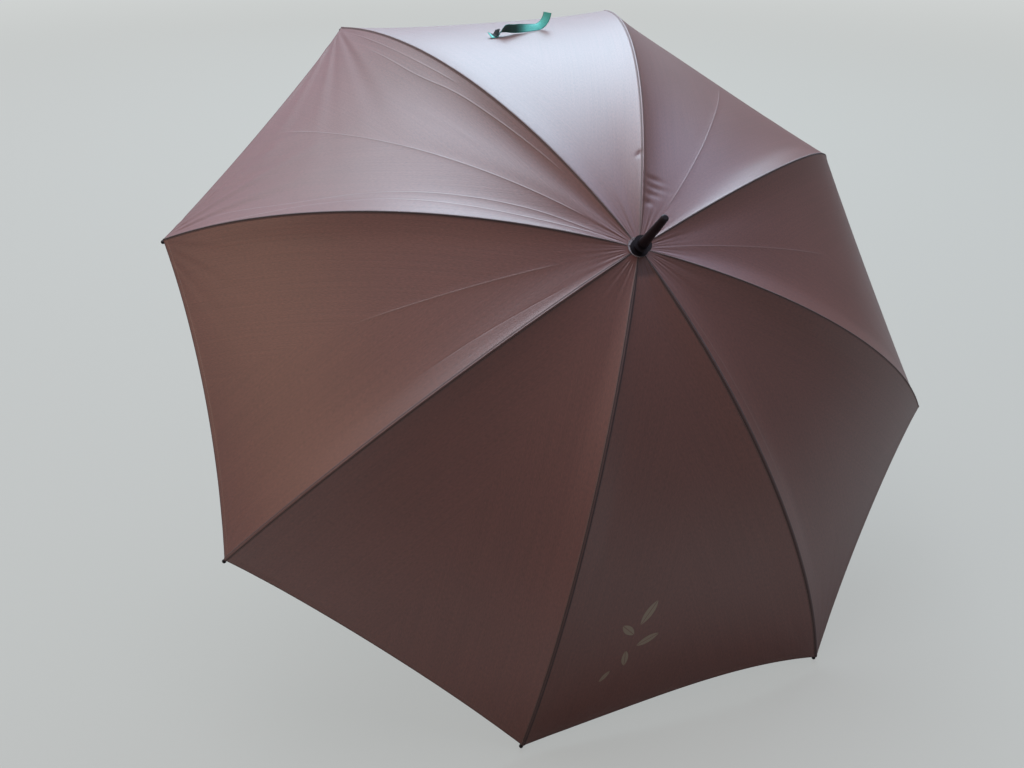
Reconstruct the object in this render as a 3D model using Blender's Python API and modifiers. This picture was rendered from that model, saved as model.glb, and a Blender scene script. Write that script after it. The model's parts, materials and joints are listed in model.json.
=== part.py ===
"""Open stick umbrella with eight ribs, resting on two rib tips and its crook handle.

Everything is drawn in the umbrella's own frame: the shaft runs along Z, the ribs hinge in the
plane Z = 0 and the ferrule points up. The root empty then lays the umbrella down as it rests.
"""

from math import acos, asin, atan2, cos, hypot, pi, radians, sin

import bmesh
import bpy
from mathutils import Matrix, Vector

# Ribs
RIB_COUNT = 8
RIB_REACH = 0.617
RIB_BEND_RADIUS = 0.704
RIB_START_SLOPE = radians(1.3)
RIB_WIDTH = 0.0032
RIB_HEIGHT = 0.0032
RIB_WALL = 0.0005
RIB_TAPER_LENGTH = 0.040
RIB_END_SHARE = 0.72
RIB_EYE_OVERHANG = 0.0022
RIB_STATIONS = 12

# Stretchers, forked over the ribs and riveted to them
STRETCHER_LENGTH = 0.275
STRETCHER_HEIGHT = 0.0030
STRETCHER_WALL = 0.0006
STRETCHER_EAR_OVERHANG = 0.0016
FORK_LENGTH = 0.014
STRETCHER_NECK_LENGTH = 0.020
STRETCHER_NECK_WIDTH = 0.0032
RIVET_RADIUS = 0.0007
RIVET_HEAD_RADIUS = 0.0016
RIVET_HEAD_THICKNESS = 0.0007

# Running clearances
SIDE_CLEARANCE = 0.0003
PIVOT_CLEARANCE = 0.0003
FIT_CLEARANCE = 0.0003
CUT_OVERRUN = 0.002

# Crown at the top of the shaft
HINGE_RADIUS = 0.012
WIRE_RADIUS = 0.0005
CROWN_RADIUS = 0.0138
CROWN_TOP = 0.0028
CROWN_UNDERSIDE = 0.0036
CROWN_NECK_RADIUS = 0.0076
CROWN_NECK_LENGTH = 0.0105
WIRE_GROOVE_CLEARANCE = 0.0004

# Shaft tube
SHAFT_RADIUS = 0.005
SHAFT_WALL = 0.0008
SHAFT_TOP = 0.040
SHAFT_IN_HANDLE = 0.042

# Cap and ferrule
CAP_RADIUS = 0.0112
CAP_HEIGHT = 0.0120
CAP_LIP = 0.0018
CAP_TOP_RADIUS = 0.0069
FERRULE_END = 0.082
FERRULE_FOOT_RADIUS = 0.0063
FERRULE_FOOT_HEIGHT = 0.0050
FERRULE_WAIST_RADIUS = 0.0059
FERRULE_TIP_RADIUS = 0.0045
FERRULE_TIP_ROUNDING = 0.0022

# Rib tip caps
TIP_BALL_RADIUS = 0.0027
TIP_SLEEVE_LENGTH = 0.0105
TIP_SLEEVE_WALL = 0.0007
TIP_NECK_RADIUS = 0.0015
TIP_NECK_LENGTH = 0.0055
TIP_BORE_FLOOR = 0.0010

# Runner
RUNNER_SLEEVE_RADIUS = 0.0084
RUNNER_FLANGE_RADIUS = 0.0140
RUNNER_FLANGE_HALF = 0.0033
RUNNER_COLLAR = 0.0080
RUNNER_SKIRT = 0.041
RUNNER_EDGE = 0.0008
CLOSED_TIP_RADIUS = 0.021
HAND_SPACE = 0.030

# Sprung catches in the shaft
CATCH_THICKNESS = 0.0018
CATCH_LENGTH = 0.0325
CATCH_NOSE_REACH = 0.0070
CATCH_NOSE_LENGTH = 0.0125
CATCH_NOSE_FLAT = 0.0015
CATCH_LEAF_DEPTH = 0.0024
CATCH_FOOT_LENGTH = 0.0050
CATCH_FOOT_DEPTH = 0.0072
LOWER_CATCH_ENGAGE = 0.0060

# Stop pin across the shaft
STOP_PIN_RADIUS = 0.0010
STOP_PIN_LENGTH = 0.0145

# Crook handle and its collar
COLLAR_LENGTH = 0.012
COLLAR_RADIUS = 0.0122
HANDLE_RADIUS = 0.011
GRIP_LENGTH = 0.1255
CROOK_RADIUS = 0.038
CROOK_TAIL = 0.024
CROOK_STATIONS = 18
HANDLE_END_STATIONS = 5

# Canopy cloth
CLOTH_THICKNESS = 0.0006
CLOTH_CLEARANCE = 0.0017
CLOTH_SAG = 0.006
HEM_DIP = 0.004
HEM_RISE = 0.013
HEM_TO_BALL = 0.006
CLOTH_HOLE_RADIUS = 0.009
PANEL_GAP = 0.0003
CLOTH_STATIONS_ALONG = 13
CLOTH_STATIONS_ACROSS = 8

# Closing strap, sewn to the panel between the second and third ribs and lying across it
STRAP_RIB = 3
STRAP_WIDTH = 0.012
STRAP_THICKNESS = 0.0008
STRAP_ACROSS_SHARES = (1.20, 0.735)
STRAP_INSETS = (0.137, 0.108)
STRAP_REST = 0.0012
STRAP_ARCH = 0.002
STRAP_TWIST_SHARES = (0.08, 0.58)
STRAP_FLAT_SHARE = 0.74
STRAP_CURL_RADIUS = 0.022
STRAP_CURL_ANGLE = radians(80)
STRAP_STATIONS = 28
PATCH_LENGTH = 0.011
PATCH_WIDTH = 0.010
PATCH_THICKNESS = 0.0008
PATCH_SHARE = 0.06

# Facet counts
ROUND_STEPS = 24
SMALL_ROUND_STEPS = 10
PIN_STEPS = 8
WIRE_STEPS = 32
WIRE_SIDES = 6
HANDLE_BEVEL_RESOLUTION = 7
BALL_STEPS = 5
SMOOTH_ANGLE = radians(35)

# Derived places
HALF_PITCH = pi / RIB_COUNT
RIB_ARC = RIB_REACH / RIB_BEND_RADIUS
RIB_CHORD = 2 * RIB_BEND_RADIUS * sin(RIB_ARC / 2)
CHORD_SLOPE = RIB_START_SLOPE + RIB_ARC / 2
FOLD_ANGLE = acos((CLOSED_TIP_RADIUS - HINGE_RADIUS) / RIB_CHORD) - CHORD_SLOPE
JOINT_ARC = 2 * asin(STRETCHER_LENGTH / (2 * RIB_BEND_RADIUS))
JOINT_SLOPE = RIB_START_SLOPE + JOINT_ARC / 2
OPEN_DROP = 2 * STRETCHER_LENGTH * sin(JOINT_SLOPE)
CLOSED_DROP = 2 * STRETCHER_LENGTH * sin(JOINT_SLOPE + FOLD_ANGLE)
RUNNER_TRAVEL = CLOSED_DROP - OPEN_DROP
TIP_LENGTH = TIP_SLEEVE_LENGTH + TIP_NECK_LENGTH + TIP_BALL_RADIUS
TIP_START = RIB_REACH - TIP_LENGTH
RIB_STEEL_END = TIP_START + TIP_SLEEVE_LENGTH - TIP_BORE_FLOOR - FIT_CLEARANCE
RIB_END_HALF_DIAGONAL = hypot(RIB_WIDTH, RIB_HEIGHT) / 2 * RIB_END_SHARE
TIP_BORE_RADIUS = RIB_END_HALF_DIAGONAL + FIT_CLEARANCE
TIP_SLEEVE_RADIUS = TIP_BORE_RADIUS + TIP_SLEEVE_WALL
RIVET_HOLE_RADIUS = RIVET_RADIUS + PIVOT_CLEARANCE
WIRE_HOLE_RADIUS = WIRE_RADIUS + PIVOT_CLEARANCE
FORK_INNER_WIDTH = RIB_WIDTH + 2 * SIDE_CLEARANCE
STRETCHER_WIDTH = FORK_INNER_WIDTH + 2 * STRETCHER_WALL
SLOT_WIDTH = RIB_WIDTH + 2 * SIDE_CLEARANCE
EYE_SWEEP = hypot(RIB_EYE_OVERHANG, RIB_HEIGHT / 2) + SIDE_CLEARANCE
SLOT_FLOOR_RADIUS = HINGE_RADIUS - EYE_SWEEP
SHAFT_BORE_FIT = SHAFT_RADIUS + FIT_CLEARANCE
CLOTH_LIFT = RIB_HEIGHT / 2 + CLOTH_CLEARANCE + CLOTH_THICKNESS
CLOTH_START = CLOTH_HOLE_RADIUS - HINGE_RADIUS
CLOTH_END = RIB_REACH - HEM_TO_BALL
CAP_BASE = CLOTH_LIFT + FIT_CLEARANCE
FERRULE_BASE = CAP_BASE + CAP_HEIGHT + FIT_CLEARANCE
RUNNER_TOP = RUNNER_COLLAR - OPEN_DROP
RUNNER_BOTTOM = -OPEN_DROP - RUNNER_SKIRT
STOP_PIN_HEIGHT = RUNNER_TOP + FIT_CLEARANCE + STOP_PIN_RADIUS
UPPER_CATCH_FOOT = RUNNER_BOTTOM - FIT_CLEARANCE - CATCH_LENGTH
LOWER_CATCH_FOOT = RUNNER_BOTTOM - RUNNER_TRAVEL + LOWER_CATCH_ENGAGE + CATCH_LENGTH
COLLAR_TOP = RUNNER_BOTTOM - RUNNER_TRAVEL - HAND_SPACE
HANDLE_TOP = COLLAR_TOP - COLLAR_LENGTH - FIT_CLEARANCE
CROOK_HEIGHT = HANDLE_TOP - GRIP_LENGTH
SHAFT_BOTTOM = HANDLE_TOP - SHAFT_IN_HANDLE


def rib_point(along, lift=0.0):
    """Point of a rib's arc in its hinge frame, lifted off the arc to the outside."""
    slope = RIB_START_SLOPE + along / RIB_BEND_RADIUS
    radius = RIB_BEND_RADIUS + lift
    x = radius * sin(slope) - RIB_BEND_RADIUS * sin(RIB_START_SLOPE)
    z = radius * cos(slope) - RIB_BEND_RADIUS * cos(RIB_START_SLOPE)
    return Vector((x, 0, z))


def rib_normal(along):
    slope = RIB_START_SLOPE + along / RIB_BEND_RADIUS
    return Vector((sin(slope), 0, cos(slope)))


def clear_scene():
    for old in list(bpy.data.objects):
        bpy.data.objects.remove(old, do_unlink=True)


def new_collection(name):
    collection = bpy.data.collections.new(name)
    bpy.context.scene.collection.children.link(collection)
    return collection


def new_material(name, colour, roughness, metallic=0.0):
    made = bpy.data.materials.new(name)
    made.use_nodes = True
    shader = made.node_tree.nodes["Principled BSDF"]
    shader.inputs["Base Color"].default_value = (*colour, 1)
    shader.inputs["Roughness"].default_value = roughness
    shader.inputs["Metallic"].default_value = metallic
    made.diffuse_color = (*colour, 1)
    return made


clear_scene()
PARTS = new_collection("umbrella")
CUTTERS = new_collection("umbrella_cutters")
CLOTH = new_material("taupe_polyester", (0.15, 0.095, 0.085), 0.38)
BLACK_PLASTIC = new_material("black_plastic", (0.012, 0.010, 0.012), 0.35)
DARK_STEEL = new_material("spring_steel", (0.30, 0.30, 0.31), 0.32, 1.0)
SHAFT_STEEL = new_material("shaft_steel", (0.45, 0.45, 0.46), 0.22, 1.0)
WIRE_STEEL = new_material("wire_steel", (0.55, 0.55, 0.55), 0.30, 1.0)
CATCH_STEEL = new_material("catch_steel", (0.50, 0.50, 0.50), 0.28, 1.0)
STRAP_CLOTH = new_material("teal_ribbon", (0.10, 0.52, 0.53), 0.45)
PATCH_CLOTH = new_material("dark_hook_tape", (0.035, 0.06, 0.06), 0.85)


def add_empty(name, parent=None, location=(0, 0, 0), rotation=(0, 0, 0)):
    empty = bpy.data.objects.new(name, None)
    PARTS.objects.link(empty)
    empty.parent = parent
    empty.location = location
    empty.rotation_euler = rotation
    return empty


def add_object(name, data, material, parent, location=(0, 0, 0), rotation=(0, 0, 0)):
    made = bpy.data.objects.new(name, data)
    PARTS.objects.link(made)
    made.parent = parent
    made.location = location
    made.rotation_euler = rotation
    if not data.materials:
        data.materials.append(material)
    return made


def smooth(mesh):
    mesh.shade_smooth()
    mesh.set_sharp_from_angle(angle=SMOOTH_ANGLE)


def mesh_from(bm, name):
    bmesh.ops.recalc_face_normals(bm, faces=bm.faces)
    mesh = bpy.data.meshes.new(name)
    bm.to_mesh(mesh)
    bm.free()
    return mesh


def loft(name, rings):
    """Closed solid through rings of equal point count, with a flat cap at each end."""
    bm = bmesh.new()
    loops = [[bm.verts.new(point) for point in ring] for ring in rings]
    count = len(loops[0])
    for near, far in zip(loops, loops[1:]):
        for side in range(count):
            after = (side + 1) % count
            bm.faces.new((near[side], near[after], far[after], far[side]))
    bm.faces.new(loops[0])
    bm.faces.new(loops[-1])
    return mesh_from(bm, name)


def turned(name, profile, material, parent, location=(0, 0, 0), rotation=(0, 0, 0), steps=ROUND_STEPS):
    """Body of revolution about Z. The profile is given as (radius, height), outer side first."""
    bm = bmesh.new()
    verts = [bm.verts.new((radius, 0, height)) for radius, height in profile]
    for first, second in zip(verts, verts[1:]):
        bm.edges.new((first, second))
    if profile[0][0] > 0:
        bm.edges.new((verts[-1], verts[0]))
    mesh = bpy.data.meshes.new(name)
    bm.to_mesh(mesh)
    bm.free()
    made = add_object(name, mesh, material, parent, location, rotation)
    screw = made.modifiers.new("Turn", "SCREW")
    screw.steps = steps
    screw.render_steps = steps
    screw.use_merge_vertices = True
    screw.merge_threshold = WIRE_RADIUS / 10
    screw.use_smooth_shade = True
    return made


def add_cutter(name, bm, parent, location, rotation):
    cutter = bpy.data.objects.new(name, mesh_from(bm, name))
    CUTTERS.objects.link(cutter)
    cutter.parent = parent
    cutter.location = location
    cutter.rotation_euler = rotation
    cutter.hide_render = True
    cutter.display_type = "WIRE"
    return cutter


def box_cutter(name, size, parent=None, location=(0, 0, 0), rotation=(0, 0, 0)):
    bm = bmesh.new()
    bmesh.ops.create_cube(bm, size=1, matrix=Matrix.Diagonal((*size, 1)))
    return add_cutter(name, bm, parent, location, rotation)


def rod_cutter(name, radius, length, parent=None, location=(0, 0, 0), rotation=(0, 0, 0), steps=PIN_STEPS):
    bm = bmesh.new()
    bmesh.ops.create_cone(
        bm, cap_ends=True, segments=steps, radius1=radius, radius2=radius, depth=length
    )
    return add_cutter(name, bm, parent, location, rotation)


def slots_cutter(name, floor_radius, outer_radius, half_height, parent=None):
    """One box for each rib, set round the shaft and open to the outside."""
    bm = bmesh.new()
    length = outer_radius - floor_radius
    scale = Matrix.Diagonal((length, SLOT_WIDTH, 2 * half_height, 1))
    shift = Matrix.Translation((floor_radius + length / 2, 0, 0))
    for index in range(RIB_COUNT):
        turn = Matrix.Rotation(rib_azimuth(index), 4, "Z")
        bmesh.ops.create_cube(bm, size=1, matrix=turn @ shift @ scale)
    return add_cutter(name, bm, parent, (0, 0, 0), (0, 0, 0))


def cut(target, cutter):
    modifier = target.modifiers.new(cutter.name, "BOOLEAN")
    modifier.operation = "DIFFERENCE"
    modifier.solver = "EXACT"
    modifier.object = cutter


def baked_mesh(made):
    """Mesh of an object with its modifiers applied. The object itself is removed."""
    bpy.context.view_layer.update()
    graph = bpy.context.evaluated_depsgraph_get()
    mesh = bpy.data.meshes.new_from_object(made.evaluated_get(graph), depsgraph=graph)
    mesh.name = made.name
    bpy.data.objects.remove(made, do_unlink=True)
    return mesh


def rib_azimuth(index):
    """The first rib lies left of the lean plane and the others follow clockwise."""
    return pi - (2 * index + 1) * HALF_PITCH


def u_section(width, height, wall):
    """Channel outline as (across, outward) points, open on its inner side."""
    half, rise = width / 2, height / 2
    inner, web = half - wall, rise - wall
    left = [(-inner, -rise), (-half, -rise), (-half, rise)]
    right = [(half, rise), (half, -rise), (inner, -rise)]
    return [(-inner, web)] + left + right + [(inner, web)]


def rest_lean():
    """Lean from upright at which two rib tips and the crook's back share one floor."""
    tip = rib_point(RIB_REACH)
    tip_y = -(tip.x + HINGE_RADIUS) * cos(HALF_PITCH)
    rise = CROOK_RADIUS - tip_y
    drop = CROOK_HEIGHT - tip.z
    spread = CROOK_RADIUS + HANDLE_RADIUS - TIP_BALL_RADIUS
    return asin(spread / hypot(rise, drop)) - atan2(drop, rise)


# Shaft tube with the slots of both catches and the holes of the stop pin
def build_shaft(root):
    bore = SHAFT_RADIUS - SHAFT_WALL
    profile = [
        (SHAFT_RADIUS, SHAFT_TOP),
        (SHAFT_RADIUS, SHAFT_BOTTOM),
        (bore, SHAFT_BOTTOM),
        (bore, SHAFT_TOP),
    ]
    shaft = turned("shaft_tube", profile, SHAFT_STEEL, root)
    slot_length = CATCH_NOSE_LENGTH + 2 * SHAFT_WALL + 2 * CATCH_NOSE_FLAT
    slot_size = (CATCH_THICKNESS + 2 * SIDE_CLEARANCE, 2 * SHAFT_RADIUS, slot_length)
    middle = CATCH_LENGTH + SHAFT_WALL - slot_length / 2
    for label, foot, way in (
        ("upper", UPPER_CATCH_FOOT, 1),
        ("lower", LOWER_CATCH_FOOT, -1),
    ):
        place = (0, SHAFT_RADIUS, foot + way * middle)
        cut(shaft, box_cutter(label + "_catch_slot", slot_size, root, place))
    hole = rod_cutter(
        "stop_pin_hole",
        STOP_PIN_RADIUS + FIT_CLEARANCE,
        STOP_PIN_LENGTH,
        root,
        (0, 0, STOP_PIN_HEIGHT),
        (0, pi / 2, 0),
    )
    cut(shaft, hole)


def build_stop_pin(root):
    half = STOP_PIN_LENGTH / 2
    profile = [(0, half), (STOP_PIN_RADIUS, half), (STOP_PIN_RADIUS, -half), (0, -half)]
    place = (0, 0, STOP_PIN_HEIGHT)
    turned("stop_pin", profile, WIRE_STEEL, root, place, (0, pi / 2, 0), PIN_STEPS)


# Crown: a disc with a rib slot every eighth of a turn and a groove for the binding wire
def build_crown(root):
    groove_half = WIRE_RADIUS + WIRE_GROOVE_CLEARANCE
    groove_floor = HINGE_RADIUS - groove_half
    profile = [
        (CROWN_RADIUS, CROWN_TOP),
        (CROWN_RADIUS, groove_half),
        (groove_floor, groove_half),
        (groove_floor, -groove_half),
        (CROWN_RADIUS, -groove_half),
        (CROWN_RADIUS, -CROWN_UNDERSIDE),
        (CROWN_NECK_RADIUS, -CROWN_UNDERSIDE),
        (CROWN_NECK_RADIUS, -CROWN_UNDERSIDE - CROWN_NECK_LENGTH),
        (SHAFT_BORE_FIT, -CROWN_UNDERSIDE - CROWN_NECK_LENGTH),
        (SHAFT_BORE_FIT, CROWN_TOP),
    ]
    crown = turned("crown_notch", profile, BLACK_PLASTIC, root)
    half_height = CROWN_UNDERSIDE + CUT_OVERRUN
    outer = CROWN_RADIUS + CUT_OVERRUN
    cut(crown, slots_cutter("crown_slots", SLOT_FLOOR_RADIUS, outer, half_height, root))


def build_crown_wire(root):
    bpy.ops.mesh.primitive_torus_add(
        major_segments=WIRE_STEPS,
        minor_segments=WIRE_SIDES,
        major_radius=HINGE_RADIUS,
        minor_radius=WIRE_RADIUS,
    )
    wire = bpy.context.object
    for collection in list(wire.users_collection):
        collection.objects.unlink(wire)
    PARTS.objects.link(wire)
    wire.name = "crown_wire"
    wire.parent = root
    wire.data.materials.append(WIRE_STEEL)
    wire.data.shade_smooth()


# Bell-shaped cap that clamps the cloth, and the tapered ferrule above it
def build_cap(root):
    top = CAP_BASE + CAP_HEIGHT
    shoulder = CAP_BASE + CAP_LIP
    rise = CAP_HEIGHT - CAP_LIP
    run = CAP_RADIUS - CAP_TOP_RADIUS
    flare = [
        (CAP_TOP_RADIUS + run * (1 - sin(turn)), top - rise * (1 - cos(turn)))
        for turn in (pi / 2 * step / BALL_STEPS for step in range(BALL_STEPS, -1, -1))
    ]
    flare = sorted(flare, key=lambda point: -point[1])
    profile = flare + [
        (CAP_RADIUS, shoulder),
        (CAP_RADIUS, CAP_BASE),
        (SHAFT_BORE_FIT, CAP_BASE),
        (SHAFT_BORE_FIT, top),
    ]
    turned("canopy_cap", distinct(profile), BLACK_PLASTIC, root)


def distinct(profile):
    """The profile without neighbouring points that coincide."""
    kept = [profile[0]]
    for point in profile[1:]:
        if hypot(point[0] - kept[-1][0], point[1] - kept[-1][1]) > WIRE_RADIUS / 10:
            kept.append(point)
    return kept


def build_ferrule(root):
    foot = FERRULE_BASE + FERRULE_FOOT_HEIGHT
    rounding = FERRULE_TIP_ROUNDING
    crown = [
        (
            FERRULE_TIP_RADIUS - rounding * (1 - sin(turn)),
            FERRULE_END - rounding * (1 - cos(turn)),
        )
        for turn in (pi / 2 * step / BALL_STEPS for step in range(BALL_STEPS + 1))
    ]
    profile = [(0, FERRULE_END)] + crown + [
        (FERRULE_WAIST_RADIUS, foot + FERRULE_FOOT_HEIGHT / 2),
        (FERRULE_FOOT_RADIUS, foot),
        (FERRULE_FOOT_RADIUS, FERRULE_BASE),
        (SHAFT_BORE_FIT, FERRULE_BASE),
        (SHAFT_BORE_FIT, SHAFT_TOP + FIT_CLEARANCE),
        (0, SHAFT_TOP + FIT_CLEARANCE),
    ]
    turned("ferrule", profile, BLACK_PLASTIC, root)


# Runner: a sleeve with a slotted flange and a keyway that lets the catch noses pass
def build_runner(root):
    slide = add_empty("runner_slide", root, (0, 0, -OPEN_DROP))
    profile = [
        (RUNNER_SLEEVE_RADIUS - RUNNER_EDGE, RUNNER_COLLAR),
        (RUNNER_SLEEVE_RADIUS, RUNNER_COLLAR - RUNNER_EDGE),
        (RUNNER_SLEEVE_RADIUS, RUNNER_FLANGE_HALF),
        (RUNNER_FLANGE_RADIUS, RUNNER_FLANGE_HALF),
        (RUNNER_FLANGE_RADIUS, -RUNNER_FLANGE_HALF),
        (RUNNER_SLEEVE_RADIUS, -RUNNER_FLANGE_HALF),
        (RUNNER_SLEEVE_RADIUS, RUNNER_EDGE - RUNNER_SKIRT),
        (RUNNER_SLEEVE_RADIUS - RUNNER_EDGE, -RUNNER_SKIRT),
        (SHAFT_BORE_FIT, -RUNNER_SKIRT),
        (SHAFT_BORE_FIT, RUNNER_COLLAR),
    ]
    runner = turned("runner", profile, BLACK_PLASTIC, slide)
    half_height = RUNNER_FLANGE_HALF + CUT_OVERRUN
    outer = RUNNER_FLANGE_RADIUS + CUT_OVERRUN
    cut(runner, slots_cutter("runner_slots", SLOT_FLOOR_RADIUS, outer, half_height, slide))
    key_depth = CATCH_NOSE_REACH + SIDE_CLEARANCE
    key_length = RUNNER_COLLAR + RUNNER_SKIRT + 2 * CUT_OVERRUN
    key_size = (CATCH_THICKNESS + 2 * SIDE_CLEARANCE, key_depth, key_length)
    key_place = (0, key_depth / 2, (RUNNER_COLLAR - RUNNER_SKIRT) / 2)
    cut(runner, box_cutter("runner_keyway", key_size, slide, key_place))
    return slide


# Catch: a leaf inside the shaft whose ramped nose stands out of its slot
def build_catch(name, root, foot, way):
    hinge = add_empty(name + "_hinge", root, (0, 0, foot))
    front = CATCH_LEAF_DEPTH * 3 / 4
    back = front - CATCH_LEAF_DEPTH
    foot_half = CATCH_FOOT_DEPTH / 2
    nose_start = CATCH_LENGTH - CATCH_NOSE_LENGTH
    outline = [
        (-foot_half, -CATCH_FOOT_LENGTH / 2),
        (foot_half, -CATCH_FOOT_LENGTH / 2),
        (foot_half, CATCH_FOOT_LENGTH / 2),
        (front, CATCH_FOOT_LENGTH),
        (front, nose_start),
        (CATCH_NOSE_REACH, CATCH_LENGTH - CATCH_NOSE_FLAT),
        (CATCH_NOSE_REACH, CATCH_LENGTH),
        (back, CATCH_LENGTH),
        (back, CATCH_FOOT_LENGTH),
        (-foot_half, CATCH_FOOT_LENGTH / 2),
    ]
    curve = bpy.data.curves.new(name, "CURVE")
    curve.dimensions = "2D"
    curve.fill_mode = "BOTH"
    curve.extrude = CATCH_THICKNESS / 2
    spline = curve.splines.new("POLY")
    spline.points.add(len(outline) - 1)
    for point, (reach, height) in zip(spline.points, outline):
        point.co = (reach, way * height, 0, 1)
    spline.use_cyclic_u = True
    add_object(name, curve, CATCH_STEEL, hinge, (0, 0, 0), (pi / 2, 0, pi / 2))


# Crook handle, bored for the shaft, with a domed end, and the collar on top of it
def handle_path():
    """(point, share of the full radius) along the handle's centre line."""
    path = [(Vector((0, 0, HANDLE_TOP)), 1), (Vector((0, 0, CROOK_HEIGHT)), 1)]
    for step in range(1, CROOK_STATIONS + 1):
        turn = pi * step / CROOK_STATIONS
        side = CROOK_RADIUS * (1 - cos(turn))
        path.append((Vector((0, side, CROOK_HEIGHT - CROOK_RADIUS * sin(turn))), 1))
    tail = CROOK_HEIGHT + CROOK_TAIL - HANDLE_RADIUS
    for step in range(HANDLE_END_STATIONS):
        turn = pi / 2 * step / HANDLE_END_STATIONS
        place = Vector((0, 2 * CROOK_RADIUS, tail + HANDLE_RADIUS * sin(turn)))
        path.append((place, cos(turn)))
    return path


def build_handle(root):
    path = handle_path()
    curve = bpy.data.curves.new("handle", "CURVE")
    curve.dimensions = "3D"
    curve.bevel_depth = HANDLE_RADIUS
    curve.bevel_resolution = HANDLE_BEVEL_RESOLUTION
    curve.use_fill_caps = True
    spline = curve.splines.new("POLY")
    spline.points.add(len(path) - 1)
    for point, (place, share) in zip(spline.points, path):
        point.co = (*place, 1)
        point.radius = share
    mesh = baked_mesh(add_object("handle", curve, BLACK_PLASTIC, None))
    bm = bmesh.new()
    bm.from_mesh(mesh)
    bmesh.ops.remove_doubles(bm, verts=bm.verts, dist=WIRE_RADIUS / 10)
    bmesh.ops.recalc_face_normals(bm, faces=bm.faces)
    bm.to_mesh(mesh)
    bm.free()
    handle = add_object("handle", mesh, BLACK_PLASTIC, root)
    depth = SHAFT_IN_HANDLE + FIT_CLEARANCE + CUT_OVERRUN
    place = (0, 0, HANDLE_TOP + CUT_OVERRUN - depth / 2)
    bore = rod_cutter("handle_bore", SHAFT_BORE_FIT, depth, root, place, steps=ROUND_STEPS)
    cut(handle, bore)


def build_collar(root):
    edge = COLLAR_RADIUS - HANDLE_RADIUS
    bottom = COLLAR_TOP - COLLAR_LENGTH
    profile = [
        (COLLAR_RADIUS - 2 * edge, COLLAR_TOP),
        (COLLAR_RADIUS, COLLAR_TOP - 2 * edge),
        (COLLAR_RADIUS, bottom),
        (SHAFT_BORE_FIT, bottom),
        (SHAFT_BORE_FIT, COLLAR_TOP),
    ]
    turned("handle_collar", profile, SHAFT_STEEL, root)


# Ribs: bent channels, pierced for the crown wire and for the stretcher's rivet
def rib_mesh():
    section = u_section(RIB_WIDTH, RIB_HEIGHT, RIB_WALL)
    taper_start = RIB_STEEL_END - RIB_TAPER_LENGTH
    span = taper_start + RIB_EYE_OVERHANG
    places = [
        step * span / (RIB_STATIONS - 1) - RIB_EYE_OVERHANG for step in range(RIB_STATIONS)
    ]
    stations = [(place, 1) for place in places] + [(RIB_STEEL_END, RIB_END_SHARE)]
    rings = [
        [rib_point(along, rise * share) + Vector((0, side * share, 0)) for side, rise in section]
        for along, share in stations
    ]
    master = add_object("rib", loft("rib", rings), DARK_STEEL, None)
    across = (pi / 2, 0, 0)
    width = RIB_WIDTH + 2 * CUT_OVERRUN
    eye = rod_cutter("rib_eye_hole", WIRE_HOLE_RADIUS, width, None, (0, 0, 0), across)
    joint = rib_point(RIB_BEND_RADIUS * JOINT_ARC)
    rivet = rod_cutter("rib_rivet_hole", RIVET_HOLE_RADIUS, width, None, joint, across)
    cut(master, eye)
    cut(master, rivet)
    return baked_mesh(master)


# Stretchers: straight channels with a fork at the rib and a narrow eye at the runner
def stretcher_mesh():
    eye_end = STRETCHER_LENGTH + RIB_EYE_OVERHANG
    neck = STRETCHER_LENGTH - STRETCHER_NECK_LENGTH
    stations = [
        (-STRETCHER_EAR_OVERHANG, STRETCHER_WIDTH),
        (neck - STRETCHER_NECK_LENGTH, STRETCHER_WIDTH),
        (neck, STRETCHER_NECK_WIDTH),
        (eye_end, STRETCHER_NECK_WIDTH),
    ]
    rings = [
        [
            Vector((along, side, -rise))
            for side, rise in u_section(width, STRETCHER_HEIGHT, STRETCHER_WALL)
        ]
        for along, width in stations
    ]
    master = add_object("stretcher", loft("stretcher", rings), DARK_STEEL, None)
    fork_span = FORK_LENGTH + STRETCHER_EAR_OVERHANG + CUT_OVERRUN
    fork_size = (fork_span, FORK_INNER_WIDTH, STRETCHER_HEIGHT + 2 * CUT_OVERRUN)
    fork = box_cutter("fork_gap", fork_size, None, (FORK_LENGTH - fork_span / 2, 0, 0))
    across = (pi / 2, 0, 0)
    width = STRETCHER_WIDTH + 2 * CUT_OVERRUN
    rivet = rod_cutter("ear_holes", RIVET_HOLE_RADIUS, width, None, (0, 0, 0), across)
    place = (STRETCHER_LENGTH, 0, 0)
    eye = rod_cutter("stretcher_eye_hole", WIRE_HOLE_RADIUS, width, None, place, across)
    for cutter in (fork, rivet, eye):
        cut(master, cutter)
    return baked_mesh(master)


def rivet_mesh():
    pin_half = STRETCHER_WIDTH / 2 + SIDE_CLEARANCE
    head = pin_half + RIVET_HEAD_THICKNESS
    profile = [
        (0, head),
        (RIVET_HEAD_RADIUS / 2, head),
        (RIVET_HEAD_RADIUS, pin_half + RIVET_HEAD_THICKNESS / 3),
        (RIVET_HEAD_RADIUS, pin_half),
        (RIVET_RADIUS, pin_half),
        (RIVET_RADIUS, -pin_half),
        (RIVET_HEAD_RADIUS, -pin_half),
        (RIVET_HEAD_RADIUS, -pin_half - RIVET_HEAD_THICKNESS / 3),
        (RIVET_HEAD_RADIUS / 2, -head),
        (0, -head),
    ]
    master = turned("rivet", profile, WIRE_STEEL, None, steps=PIN_STEPS)
    return baked_mesh(master)


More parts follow.
